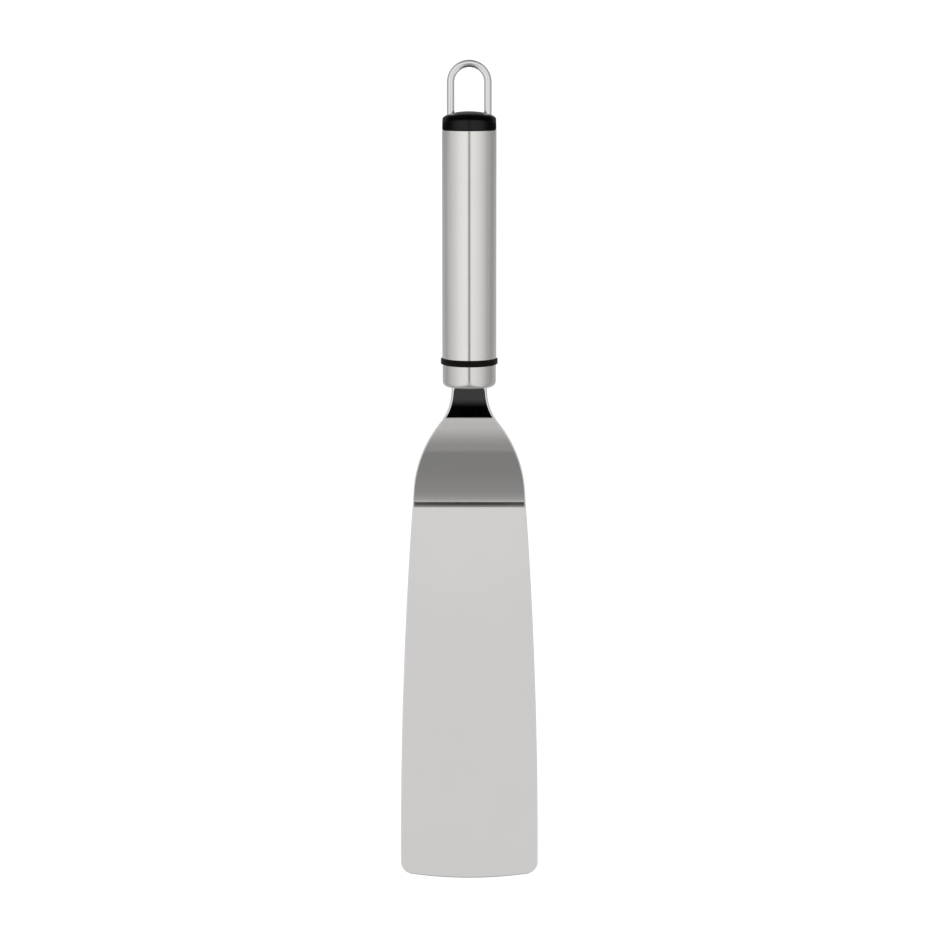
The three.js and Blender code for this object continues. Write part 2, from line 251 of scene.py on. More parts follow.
def cut_away(piece: bpy.types.Object, cutters: Iterable[bpy.types.Object]) -> None:
    """Cuts shapes out of a piece and throws the cutters away.

    Args:
        piece: the piece.
        cutters: the closed shapes to take out of it.
    """
    for cutter in cutters:
        apply_modifier(piece, "BOOLEAN", object=cutter, operation="DIFFERENCE", solver="EXACT")
        bpy.data.meshes.remove(cutter.data)


def arc(radius_at: float, height_at: float, radius: float, start: float, stop: float, steps: int) -> Outline:
    """Points of a round corner on a turned outline.

    Args:
        radius_at: distance of the corner's middle from the axis.
        height_at: height of the corner's middle.
        radius: the corner's radius.
        start: direction of the first point, in radians.
        stop: direction of the last point.
        steps: how many steps lie between them.

    Returns:
        (radius, height) points.
    """
    angles = [*spread(start, stop, steps), stop]
    return [(radius_at + radius * math.cos(a), height_at + radius * math.sin(a)) for a in angles]


def smooth_step(value: float, low: float, high: float) -> float:
    """An S-shaped rise from 0 at low to 1 at high."""
    t = min(max((value - low) / (high - low), 0.0), 1.0)
    return t * t * (3.0 - 2.0 * t)


def spread(start: float, stop: float, steps: int) -> list[float]:
    """Evenly spaced values from start up to, and without, stop."""
    return [start + (stop - start) * i / steps for i in range(steps)]


# Shader tools


class Term:
    """A shader socket that adds Math nodes when it is used in an expression."""

    def __init__(self, recipe: "Recipe", socket: bpy.types.NodeSocket) -> None:
        """Wraps a socket of a recipe's tree."""
        self.recipe = recipe
        self.socket = socket

    def math(self, operation: str, first: "Term | float", second: "Term | float") -> "Term":
        """Adds one Math node."""
        return self.recipe.node("ShaderNodeMath", {"operation": operation}, {0: first, 1: second})

    def __add__(self, other: "Term | float") -> "Term":
        """self + other"""
        return self.math("ADD", self, other)

    def __sub__(self, other: "Term | float") -> "Term":
        """self - other"""
        return self.math("SUBTRACT", self, other)

    def __rsub__(self, other: float) -> "Term":
        """other - self"""
        return self.math("SUBTRACT", other, self)

    def __mul__(self, other: "Term | float") -> "Term":
        """self * other"""
        return self.math("MULTIPLY", self, other)

    __radd__ = __add__
    __rmul__ = __mul__

    def __abs__(self) -> "Term":
        """The size of self, without its sign."""
        return self.math("ABSOLUTE", self, 0.0)

    def rise(self, low: float, high: float) -> "Term":
        """An S-shaped rise from 0 at low to 1 at high."""
        return self.recipe.node("ShaderNodeMapRange", {"interpolation_type": "SMOOTHSTEP"},
                                {"Value": self, "From Min": low, "From Max": high})

    def band(self, start: Span, stop: Span) -> "Term":
        """A rise from 0 to 1 over one span, and a fall back to 0 over another."""
        return self.rise(*start) * (1.0 - self.rise(*stop))

    def blend(self, other: "Term | float", share: "Term") -> "Term":
        """Self where share is 0 and other where it is 1."""
        return self * (1.0 - share) + other * share


class Recipe:
    """The node tree of one material, or of the world."""

    def __init__(self, owner: bpy.types.Material | bpy.types.World) -> None:
        """Starts an empty tree.

        Args:
            owner: the material or world that the tree belongs to.
        """
        owner.use_nodes = True
        self.tree = owner.node_tree
        self.tree.nodes.clear()

    def node(self, kind: str, settings: dict[str, Any], sockets: dict[Any, Any],
             take: int | str = 0) -> Term:
        """Adds a node.

        Args:
            kind: the node's type.
            settings: its settings, which are set first.
            sockets: a value or a Term for each named or numbered input.
            take: the output to hand back.

        Returns:
            The chosen output.
        """
        made = self.tree.nodes.new(kind)
        for name, value in settings.items():
            setattr(made, name, value)
        for name, value in sockets.items():
            if isinstance(value, Term):
                self.tree.links.new(value.socket, made.inputs[name])
            else:
                made.inputs[name].default_value = value
        return Term(self, made.outputs[take])

    def output(self, kind: str, shader: Term) -> None:
        """Adds the output node and gives it a shader."""
        made = self.tree.nodes.new(kind)
        self.tree.links.new(shader.socket, made.inputs["Surface"])

    def place(self, turn: float = 0.0, scale: Point = (1.0, 1.0, 1.0)) -> Term:
        """Object coordinates, turned about X to lie along a piece, and scaled.

        Args:
            turn: how far the piece is turned about X, in radians.
            scale: how many times a pattern of size 1 repeats in a metre along each axis.

        Returns:
            The coordinates.
        """
        spot = self.node("ShaderNodeTexCoord", {}, {}, "Object")
        straight = self.node("ShaderNodeVectorRotate", {"rotation_type": "X_AXIS"},
                             {"Vector": spot, "Angle": -turn})
        return self.node("ShaderNodeVectorMath", {"operation": "MULTIPLY"}, {0: straight, 1: scale})

    def along(self, axis: str) -> Term:
        """The object coordinate on one axis."""
        spot = self.node("ShaderNodeTexCoord", {}, {}, "Object")
        return self.node("ShaderNodeSeparateXYZ", {}, {0: spot}, axis)

    def noise(self, where: Term, scale: float = 1.0, detail: float = 2.0) -> Term:
        """Noise between about 0 and 1."""
        return self.node("ShaderNodeTexNoise", {}, {
            "Vector": where, "Scale": scale, "Detail": detail, "Roughness": NOISE_ROUGHNESS}, "Fac")

    def mix(self, share: Term, first: Point, second: Point) -> Term:
        """A colour between two colours."""
        # The node names its inputs alike for numbers, vectors and colours, so they go by number here.
        return self.node("ShaderNodeMix", {"data_type": "RGBA"},
                         {0: share, 6: (*first, 1.0), 7: (*second, 1.0)}, 2)

    def bump(self, height: Term, depth: float) -> Term:
        """A normal bent by a height, where a height of 1 stands for a depth in metres."""
        return self.node("ShaderNodeBump", {}, {"Strength": 1.0, "Distance": depth, "Height": height})


class Finish:
    """A surface finish that can be made into a material."""

    def make(self, name: str) -> bpy.types.Material:
        """Makes a material.

        Args:
            name: the material's name.

        Returns:
            The material.
        """
        material = bpy.data.materials.new(name)
        recipe = Recipe(material)
        shader = recipe.node("ShaderNodeBsdfPrincipled", {}, self.sockets(recipe))
        recipe.output("ShaderNodeOutputMaterial", shader)
        return material

    def sockets(self, recipe: Recipe) -> dict[str, Any]:
        """The shader's inputs."""
        raise NotImplementedError


@dataclass(frozen=True)
class Buffing:
    """A change of polish along a steel piece: between two places along Y it takes over."""

    start: float
    stop: float
    roughness: float


@dataclass(frozen=True)
class Steel(Finish):
    """Stainless steel with fine polishing lines and an uneven sheen."""

    tone: Point
    roughness: float
    unevenness: float
    grain: Grain
    line_depth: float
    turn: float = 0.0
    buffed: tuple[Buffing, ...] = ()
    cloud_scale: float = 55.0
    cloud_detail: float = 3.0
    cloud_span: Span = (0.2, 0.8)
    cloud_tone: float = 0.985
    line_share: float = 0.5

    def sockets(self, recipe: Recipe) -> dict[str, Any]:
        """The shader's inputs.

        Args:
            recipe: the material's recipe.

        Returns:
            A value or a Term for each input.
        """
        lines = recipe.noise(recipe.place(self.turn, self.grain.value))
        clouds = recipe.noise(recipe.place(self.turn), self.cloud_scale, self.cloud_detail)
        darker = tuple(self.cloud_tone * channel for channel in self.tone)
        uneven = (clouds - NOISE_MIDDLE) + self.line_share * (lines - NOISE_MIDDLE)
        sheen = self.roughness + self.unevenness * uneven
        for buffing in self.buffed:
            sheen = sheen.blend(buffing.roughness, recipe.along("Y").rise(buffing.start, buffing.stop))
        return {
            "Base Color": recipe.mix(clouds.rise(*self.cloud_span), self.tone, darker),
            "Metallic": 1.0,
            "Roughness": sheen,
            "Normal": recipe.bump(lines, self.line_depth),
        }


@dataclass(frozen=True)
class Gloss:
    """One zone of a moulding's glossy skin: its gloss changes across X, and it takes over along Y."""

    middle: float
    sides: float
    inner: float
    outer: float
    start: float = 0.0
    stop: float = 0.0

    def weight(self, recipe: Recipe) -> Term:
        """The zone's gloss, from its value in the middle to its value at the sides."""
        return self.middle + (self.sides - self.middle) * abs(recipe.along("X")).rise(self.inner, self.outer)


@dataclass(frozen=True)
class Skin:
    """A moulding's glossy skin, in zones along Y."""

    roughness: float
    zones: tuple[Gloss, ...]

    def weight(self, recipe: Recipe) -> Term:
        """How much gloss there is.

        Args:
            recipe: the material's recipe.

        Returns:
            The gloss, by place.
        """
        weight = self.zones[0].weight(recipe)
        for zone in self.zones[1:]:
            weight = weight.blend(zone.weight(recipe), recipe.along("Y").rise(zone.start, zone.stop))
        return weight


@dataclass(frozen=True)
class Moulding(Finish):
    """Moulded plastic or rubber with a fine grain."""

    tone: Point
    worn_tone: Point
    roughness: float
    grain_size: float
    grain_depth: float
    gloss: float
    skin: Skin | None = None
    patch_scale: float = 140.0
    patch_detail: float = 3.0
    patch_span: Span = (0.3, 0.75)
    patch_share: float = 0.1
    grain_share: float = 0.06

    def sockets(self, recipe: Recipe) -> dict[str, Any]:
        """The shader's inputs.

        Args:
            recipe: the material's recipe.

        Returns:
            A value or a Term for each input.
        """
        grain = recipe.noise(recipe.place(), 1.0 / self.grain_size)
        patches = recipe.noise(recipe.place(), self.patch_scale, self.patch_detail)
        uneven = self.patch_share * (patches - NOISE_MIDDLE) + self.grain_share * (grain - NOISE_MIDDLE)
        inputs = {
            "Base Color": recipe.mix(patches.rise(*self.patch_span), self.tone, self.worn_tone),
            "Roughness": self.roughness + uneven,
            "Specular IOR Level": self.gloss,
            "Normal": recipe.bump(grain, self.grain_depth),
        }
        if self.skin is not None:
            inputs["Coat Weight"] = self.skin.weight(recipe)
            inputs["Coat Roughness"] = self.skin.roughness
        return inputs


# The spatula


def hand_over(piece: bpy.types.Object, node: str, material: bpy.types.Material,
              degrees: float = SHARP_DEGREES) -> None:
    """Shades a finished piece, with its broad faces leading, gives it its material and body, and hides the
    CAD node that it stands for.

    Args:
        piece: the piece.
        node: the CAD node that it stands for.
        material: its finish.
        degrees: the angle past which an edge is shaded sharp.
    """
    use_alone(piece)
    bpy.ops.object.shade_smooth_by_angle(angle=math.radians(degrees))
    apply_modifier(piece, "WEIGHTED_NORMAL", keep_sharp=True)
    piece.data.materials.clear()
    piece.data.materials.append(material)
    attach(piece, "root")
    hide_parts(node)
    log.info("%s stands for %s: %d faces", piece.name, node, len(piece.data.polygons))


@dataclass
class Handle:
    """The handle's own frame: its axis is Y, from the mouth of the ferrule."""

    mouth_y: float = 36.811 * MM
    mouth_z: float = 20.378 * MM
    tilt: float = TILT
    sides: int = 128

    def set_in_place(self, piece: bpy.types.Object) -> None:
        """Tilts and moves a piece from the handle's frame into the whole spatula's, in its mesh.

        Args:
            piece: the piece, built along Y from the mouth.
        """
        use_alone(piece)
        piece.location = (0.0, self.mouth_y, self.mouth_z)
        piece.rotation_euler = (self.tilt, 0.0, 0.0)
        bpy.ops.object.transform_apply(location=True, rotation=True, scale=True)


@dataclass
class Blade:
    """The one steel sheet: flat blade, heel bend, shoulder, neck and tang."""

    handle: Handle
    heel_y: float = -13.7 * MM
    length: float = 153.35 * MM
    half_width: float = 28.4 * MM
    widest_from_tip: float = 15.0 * MM
    side_radius: float = 2.0
    front_radius: float = 173.0 * MM
    corner_radius: float = 5.0 * MM
    shoulder_setback: float = 7.7 * MM
    shoulder_radius: float = 49.0 * MM
    throat_radius: float = 22.0 * MM
    neck_half_width: float = 7.2 * MM
    tang_half_width: float = 5.5 * MM
    plain_neck: float = 1.5 * MM
    # Over this length before the mouth the sheet grows thicker and its edges rounder.
    swell: float = 16.0 * MM
    thickness: float = 1.3 * MM
    neck_thickness: float = 2.0 * MM
    edge_radius: float = 0.35 * MM
    neck_edge_width: float = 0.66 * MM
    neck_edge_height: float = 0.95 * MM
    edge_growth: float = 6.0 * MM
    mouth_flare: float = 0.9 * MM
    flare_length: float = 2.6 * MM
    # A row of points this far inside the flat's rim keeps the rounding to the edge.
    holding: float = 0.18 * MM
    tang_shoulder: float = 3.0 * MM
    tang_end: float = 33.35 * MM
    pin_places: tuple[float, float] = (23.85 * MM, 29.85 * MM)
    pin_hole_radius: float = 1.5 * MM
    # The sheet's side view as arcs: how far each runs along Y, and the slope at its end.
    bends: tuple[tuple[float, float], ...] = (
        (3.1 * MM, math.radians(19.0)),
        (0.8 * MM, math.radians(22.8)),
        (3.14 * MM, math.radians(26.751)),
        (15.3 * MM, math.radians(28.472)),
        (15.5 * MM, math.radians(18.6)),
        (3.9 * MM, math.radians(13.0)),
        (4.1 * MM, TILT),
    )
    columns: int = 20
    edge_steps: int = 5
    # The first rows follow the front edge and its corners, and the next ones straighten out.
    corner_steps: int = 16
    corner_zone: float = 9.0 * MM
    bow_length: float = 12.0 * MM
    tip_thinning: float = 0.9
    flat_rows: int = 24
    bend_rows: int = 8
    bend_step: float = math.radians(0.6)
    row_step: float = 1.2 * MM
    straight_rows: int = 12
    drill_sides: int = 40
    sharp_degrees: float = 50.0
    finish: Steel = Steel(
        (0.763, 0.75, 0.739), 0.07, 0.015, Grain.ALONG, 1.5e-7,
        buffed=(Buffing(-60.0 * MM, -20.0 * MM, 0.105), Buffing(-8.0 * MM, 10.0 * MM, 0.037)))

    def __post_init__(self) -> None:
        """Works out where the outline's arcs meet."""
        self.widest_at = self.length - self.widest_from_tip
        self.side_angle = math.asin((self.widest_at + self.shoulder_setback) / self.side_radius)
        self.side_half = self.half_width - self.side_radius * (1.0 - math.cos(self.side_angle))
        radii = self.shoulder_radius + self.throat_radius
        meeting_angle = math.acos((
            self.shoulder_radius * math.cos(self.side_angle) + self.throat_radius
            - self.side_half + self.neck_half_width) / radii)
        turn_in = math.sin(meeting_angle) - math.sin(self.side_angle)
        self.shoulder_end = self.shoulder_setback + self.shoulder_radius * turn_in
        self.throat_end = self.shoulder_end + self.throat_radius * math.sin(meeting_angle)
        self.mouth_run = self.throat_end + self.plain_neck
        self.tang_start = self.mouth_run + self.tang_shoulder * math.cos(self.handle.tilt)

    def half_at(self, y: float) -> float:
        """Half the sheet's width.

        Args:
            y: the distance from the heel line.

        Returns:
            Half the width there.
        """
        if y <= self.shoulder_setback:
            along = y + self.widest_at
            return self.half_width - self.side_radius + math.sqrt(self.side_radius ** 2 - along ** 2)
        if y < self.shoulder_end:
            angle = math.asin(math.sin(self.side_angle) + (y - self.shoulder_setback) / self.shoulder_radius)
            return self.side_half - self.shoulder_radius * (math.cos(self.side_angle) - math.cos(angle))
        if y < self.throat_end:
            angle = math.asin((self.throat_end - y) / self.throat_radius)
            return self.neck_half_width + self.throat_radius * (1.0 - math.cos(angle))
        return self.neck_half_width

    def middle_line(self) -> list[tuple[float, float, float]]:
        """The middle of the bent sheet in side view, from the heel bend to the end of the tang.

        Returns:
            (y, z, slope) stations, with y from the heel line.
        """
        y, z, slope = 0.0, self.thickness / 2, 0.0
        stations = [(y, z, slope)]
        for run, end in self.bends:
            radius = run / (math.sin(end) - math.sin(slope))
            steps = max(self.bend_rows, round(abs(end - slope) / self.bend_step), round(run / self.row_step))
            for i in range(1, steps + 1):
                now = slope + (end - slope) * i / steps
                stations.append((
                    y + radius * (math.sin(now) - math.sin(slope)),
                    z + radius * (math.cos(slope) - math.cos(now)), now))
            y, z, slope = stations[-1]
        narrow = (self.neck_half_width - self.tang_half_width) * math.cos(slope)
        end_y = self.mouth_run + self.tang_end * math.cos(slope)
        straight = spread(y, self.mouth_run, self.straight_rows)[1:]
        for stop in (*straight, self.mouth_run, self.tang_start, self.tang_start + narrow, end_y):
            stations.append((stop, z + (stop - y) * math.tan(slope), slope))
        return stations

    def section(self, half: float, y: float, thin: float = 0.0) -> list[tuple[float, float]]:
        """One round-edged section of the sheet, by its turn about the middle.

        Args:
            half: half its width.
            y: its distance from the heel line.
            thin: how much is taken off each face.

        Returns:
            (across, out of the sheet) pairs.
        """
        ahead = max(self.mouth_run - y, 0.0)
        grown = max(1.0 - ahead / self.swell, 0.0)
        rounded = smooth_step(self.swell - ahead, 0.0, self.edge_growth)
        flare = max(1.0 - ahead / self.flare_length, 0.0) ** 2
        rise = self.thickness / 2 + (self.neck_thickness - self.thickness) / 2 * grown - thin
        wide = self.edge_radius + (self.neck_edge_width - self.edge_radius) * rounded
        wide += self.mouth_flare * flare
        high = self.edge_radius + (self.neck_edge_height - self.edge_radius) * grown - thin
        flat = half - wide
        points = []
        for corner, (side, face) in enumerate(((1, -1), (1, 1), (-1, 1), (-1, -1))):
            for i in range(self.edge_steps + 1):
                angle = (corner - 1 + i / self.edge_steps) * QUARTER
                points.append((side * flat + wide * math.cos(angle),
                               face * (rise - high) + high * math.sin(angle)))
            # The second corner leads on to the upper face, and the fourth to the lower one.
            if corner % 2:
                held = flat - self.holding
                points += [(held * (1 - 2 * i / self.columns), face * rise) for i in range(self.columns + 1)]
        return sorted(points, key=lambda p: math.atan2(p[1], p[0]))

    def front_sag(self, x: float) -> float:
        """How far the front edge lies behind its middle, across the blade."""
        return self.front_radius - math.sqrt(self.front_radius ** 2 - x * x)

    def tip_rows(self) -> list[tuple[float, float, float]]:
        """The rows round the two front corners, from the corners' start to the front edge.

        Returns:
            (half width, y of the row's ends, how much thinner each face is) for each row.
        """
        corner_x = self.half_width - self.corner_radius
        middle_y = self.front_radius - self.length
        reach = self.front_radius - self.corner_radius
        corner_y = middle_y - math.sqrt(reach ** 2 - corner_x ** 2)
        last = math.atan2(middle_y - corner_y, corner_x)
        rows = []
        for i in range(self.corner_steps + 1):
            angle = last * i / self.corner_steps
            inside = self.corner_radius * (math.sin(last) - math.sin(angle))
            steep = max(self.edge_radius - inside, 0.0)
            thin = self.edge_radius - math.sqrt(self.edge_radius ** 2 - steep ** 2)
            rows.append((corner_x + self.corner_radius * math.cos(angle),
                         corner_y - self.corner_radius * math.sin(angle), self.tip_thinning * thin))
        return rows

    def rings(self) -> list[list[Point]]:
        """The sheet's sections in their places, from the front edge to the end of the tang.

        Returns:
            One ring of points for each section.
        """
        middle = self.thickness / 2
        placed: list[list[Point]] = []
        for half, end_y, thin in reversed(self.tip_rows()):
            placed.append([
                (x, self.heel_y + end_y - self.front_sag(half) + self.front_sag(x), middle + out)
                for x, out in self.section(half, -self.length, thin)])
        start = self.corner_zone - self.length
        for y in spread(start, 0.0, self.flat_rows):
            half = self.half_at(y)
            bow = 1.0 - smooth_step(y - start, 0.0, self.bow_length)
            placed.append([
                (x, self.heel_y + y - bow * (self.front_sag(half) - self.front_sag(x)), middle + out)
                for x, out in self.section(half, y)])
        for y, z, slope in self.middle_line():
            half = self.tang_half_width if y > self.tang_start + NEAR else self.half_at(y)
            placed.append([
                (x, self.heel_y + y - out * math.sin(slope), z + out * math.cos(slope))
                for x, out in self.section(half, y)])
        return placed

    def build(self) -> bpy.types.Object:
        """Draws the sheet's section along its bent middle line and drills the tang.

        Returns:
            The blade.
        """
        first, *others = self.rings()
        bench = Bench("blade_sheet")
        bench.circle(len(first), self.half_width, (0.0, first[0][1], 0.0))
        bench.number_ring()
        bench.reshape(first)
        bench.fill()
        bpy.ops.mesh.quads_convert_to_tris(quad_method="BEAUTY", ngon_method="BEAUTY")
        bench.pick_all()
        for ring in others:
            bpy.ops.mesh.extrude_region()
            bench.reshape(ring)
        bench.fill()
        blade = bench.finish()
        cut_away(blade, [self.pin_drill(place) for place in self.pin_places])
        return blade

    def pin_drill(self, place: float) -> bpy.types.Object:
        """A round cutter for one pin's hole through the tang.

        Args:
            place: how far the pin lies behind the handle's mouth.

        Returns:
            The cutter.
        """
        reach = 2.0 * self.neck_thickness
        drill = Bench("pin_drill").bar(self.pin_hole_radius, -reach, reach, self.drill_sides).finish()
        drill.location = (0.0, place, 0.0)
        drill.rotation_euler = (QUARTER, 0.0, 0.0)
        bpy.ops.object.transform_apply(location=True, rotation=True, scale=True)
        self.handle.set_in_place(drill)
        return drill

    def dress(self) -> None:
        """Builds the blade and gives it its finish."""
        material = self.finish.make("polished_blade_steel")
        hand_over(self.build(), "blade", material, self.sharp_degrees)


@dataclass
class Ferrule:
    """The drawn steel cup in front of the ring, with its waist, spigot and slot."""

    handle: Handle
    radius: float = 10.85 * MM
    length: float = 9.15 * MM
    wall: float = 0.6 * MM
    front_radius: float = 2.15 * MM
    inner_radius: float = 1.7 * MM
    lip_radius: float = 0.15 * MM
    waist_radius: float = 9.0 * MM
    shoulder: float = 11.85 * MM
    spigot_radius: float = 10.25 * MM
    spigot_end: float = 20.15 * MM
    slot_half_height: float = 1.25 * MM
    slot_half_width: float = 7.45 * MM
    slot_depth: float = 1.8 * MM
    slot_sides: int = 40
    front_steps: int = 12
    inner_steps: int = 8
    lip_steps: int = 6
    # The ferrule's steel is toned a little darker than the tube's: painted shade, standing in for the
    # shadowed floor that it reflects.
    finish: Steel = Steel(
        (0.713, 0.7, 0.683), 0.13, 0.03, Grain.AROUND, 1.2e-7, TILT,
        buffed=(Buffing(38.9 * MM, 37.5 * MM, 0.22),))

    def outline(self) -> Outline:
        """The cup's turned outline, from its front disc round to the inside of that disc.

        Returns:
            (radius, height) points.
        """
        inner = self.radius - self.wall
        return [
            *arc(self.radius - self.front_radius, self.front_radius, self.front_radius,
                 -QUARTER, 0.0, self.front_steps),
            *arc(self.radius - self.lip_radius, self.length - self.lip_radius, self.lip_radius,
                 0.0, QUARTER, self.lip_steps),
            (self.waist_radius, self.length),
            (self.waist_radius, self.shoulder),
            (self.spigot_radius, self.shoulder),
            (self.spigot_radius, self.spigot_end),
            (self.spigot_radius - self.wall, self.spigot_end),
            (self.spigot_radius - self.wall, self.shoulder + self.wall),
            (self.waist_radius - self.wall, self.shoulder + self.wall),
            (self.waist_radius - self.wall, self.length - self.wall),
            (inner, self.length - self.wall),
            *arc(inner - self.inner_radius, self.wall + self.inner_radius, self.inner_radius,
                 0.0, -QUARTER, self.inner_steps),
        ]

    def slot_cutter(self) -> bpy.types.Object:
        """A round-ended bar that cuts the neck's slot through the front disc.

        Returns:
            The cutter.
        """
        bench = Bench("slot_cutter")
        bench.circle(self.slot_sides, self.slot_half_height, (0.0, -self.wall, 0.0))
        reach = self.slot_half_width - self.slot_half_height
        for side in (1.0, -1.0):
            bench.pick(lambda at: at.x * side > NEAR)
            bench.move((side * reach, 0.0, 0.0))
        bench.pick_all()
        bench.fill()
        bench.pick_all()
        bench.extrude((0.0, self.slot_depth, 0.0))
        return bench.finish()

    def dress(self) -> None:
        """Turns the cup, cuts its slot and gives it its finish."""
        cup = Bench("ferrule_cup").turn(self.outline(), self.handle.sides, End.FLAT).finish()
        cut_away(cup, [self.slot_cutter()])
        self.handle.set_in_place(cup)
        hand_over(cup, "front_ferrule", self.finish.make("turned_ferrule_steel"))


@dataclass
class Ring:
    """The black rubber ring in the ferrule's waist."""

    handle: Handle
    place: float = 10.4 * MM
    middle_radius: float = 10.45 * MM
    half_section: float = 1.15 * MM
    corner_radius: float = 0.4 * MM
    corner_steps: int = 6
    finish: Moulding = Moulding(
        (0.0028, 0.0018, 0.0006), (0.0035, 0.0024, 0.001), 0.45, 0.22 * MM, 3e-6, 0.1)

    def dress(self) -> None:
        """Turns the square, round-cornered ring and gives it its finish."""
        inset = self.half_section - self.corner_radius
        outline: Outline = []
        for corner, (out, along) in enumerate(((-1, -1), (1, -1), (1, 1), (-1, 1))):
            outline += arc(self.middle_radius + out * inset, self.place + along * inset, self.corner_radius,
                           (corner - 2) * QUARTER, (corner - 1) * QUARTER, self.corner_steps)
        ring = Bench("rubber_ring").turn([*outline, outline[0]], self.handle.sides, End.JOINED).finish()
        self.handle.set_in_place(ring)
        hand_over(ring, "ring", self.finish.make("ring_rubber"))


@dataclass
class Tube:
    """The plain round steel tube of the handle."""

    handle: Handle
    start: float = 11.65 * MM
    end: float = 104.0 * MM
    radius: float = 11.0 * MM
    bore: float = 10.5 * MM
    lip_radius: float = 0.13 * MM
    lip_steps: int = 6
    rows: int = 12
    finish: Steel = Steel((0.759, 0.746, 0.728), 0.13, 0.03, Grain.AROUND, 1.2e-7, TILT)

    def dress(self) -> None:
        """Turns the tube, with rounded lips at both ends, and gives it its finish."""
        lip = self.lip_radius
        outline = [
            (self.bore, self.start),
            *arc(self.radius - lip, self.start + lip, lip, -QUARTER, 0.0, self.lip_steps),
            *[(self.radius, y) for y in spread(self.start + 2 * lip, self.end - 2 * lip, self.rows)],
            *arc(self.radius - lip, self.end - lip, lip, 0.0, QUARTER, self.lip_steps),
            (self.bore, self.end),
            (self.bore, self.start),
        ]
        tube = Bench("tube_shell").turn(outline, self.handle.sides, End.JOINED).finish()
        self.handle.set_in_place(tube)
        hand_over(tube, "handle_tube", self.finish.make("turned_tube_steel"))


@dataclass
class Cap:
    """The black moulded cap: a plug in the tube and a low domed head with two holes for the loop."""

    handle: Handle
    plug_end: float = 96.0 * MM
    plug_radius: float = 10.25 * MM
    base: float = 104.2 * MM
    base_radius: float = 10.95 * MM
    rim_radius: float = 10.85 * MM
    dome_base: float = 108.35 * MM
    dome_height: float = 3.15 * MM
    edge_radius: float = 0.2 * MM
    leg_hole_radius: float = 1.75 * MM
    leg_offset: float = 7.5 * MM
    pocket_radius: float = 8.95 * MM
    pocket_half_width: float = 4.2 * MM
    pocket_roof: float = 107.9 * MM
    cut_spare: float = 1.0 * MM
    dome_steps: int = 24
    edge_steps: int = 5
    drill_sides: int = 48
    pocket_sides: int = 64
    finish: Moulding = Moulding(
        (0.0007, 0.0007, 0.0007), (0.0012, 0.0012, 0.0012), 0.4, 0.12 * MM, 4e-7, 0.0,
        Skin(0.13, (
            Gloss(0.53, 0.127, 4.5 * MM, 8.2 * MM),
            Gloss(0.06, 0.4, 7.8 * MM, 10.0 * MM, 141.5 * MM, 142.2 * MM),
            Gloss(0.56, 1.0, 4.7 * MM, 6.2 * MM, 144.0 * MM, 145.1 * MM))))

    def outline(self) -> Outline:
        """The cap's turned outline, from the plug's end to the crown.

        Returns:
            (radius, height) points.
        """
        dome = [(self.rim_radius * math.cos(angle), self.dome_base + self.dome_height * math.sin(angle))
                for angle in spread(0.0, QUARTER, self.dome_steps)]
        return [
            (self.plug_radius - self.edge_radius, self.plug_end),
            (self.plug_radius, self.plug_end + self.edge_radius),
            (self.plug_radius, self.base),
            *arc(self.base_radius - self.edge_radius, self.base + self.edge_radius, self.edge_radius,
                 -QUARTER, 0.0, self.edge_steps),
            *dome,
            (0.0, self.dome_base + self.dome_height),
        ]

    def leg_drill(self, side: float) -> bpy.types.Object:
        """A round cutter for one leg's hole.

        Args:
            side: -1 for the left leg and 1 for the right one.

        Returns:
            The cutter.
        """
        low = self.plug_end - self.cut_spare
        high = self.dome_base + self.dome_height + self.cut_spare
        bench = Bench("leg_drill").bar(self.leg_hole_radius, low, high, self.drill_sides)
        bench.pick_all()
        bench.move((side * self.leg_offset, 0.0, 0.0))
        return bench.finish()

    def pocket_cutter(self) -> bpy.types.Object:
        """A cutter for the hollow in the plug, between the solid cheeks round the two legs.

        Returns:
            The cutter.
        """
        low = self.plug_end - self.cut_spare
        bench = Bench("pocket_cutter").bar(self.pocket_radius, low, self.pocket_roof, self.pocket_sides)
        for side in (-1.0, 1.0):
            bench.pick_all()
            bpy.ops.mesh.bisect(
                plane_co=(side * self.pocket_half_width, 0.0, 0.0), plane_no=(side, 0.0, 0.0),
                use_fill=True, clear_outer=True)
        return bench.finish()

    def dress(self) -> None:
        """Turns the cap, hollows and drills it and gives it its finish."""
        cap = Bench("cap_moulding").turn(self.outline(), self.handle.sides, End.POINT).finish()
        cut_away(cap, [self.pocket_cutter(), *[self.leg_drill(side) for side in (-1.0, 1.0)]])
        self.handle.set_in_place(cap)
        hand_over(cap, "end_cap", self.finish.make("cap_plastic"))


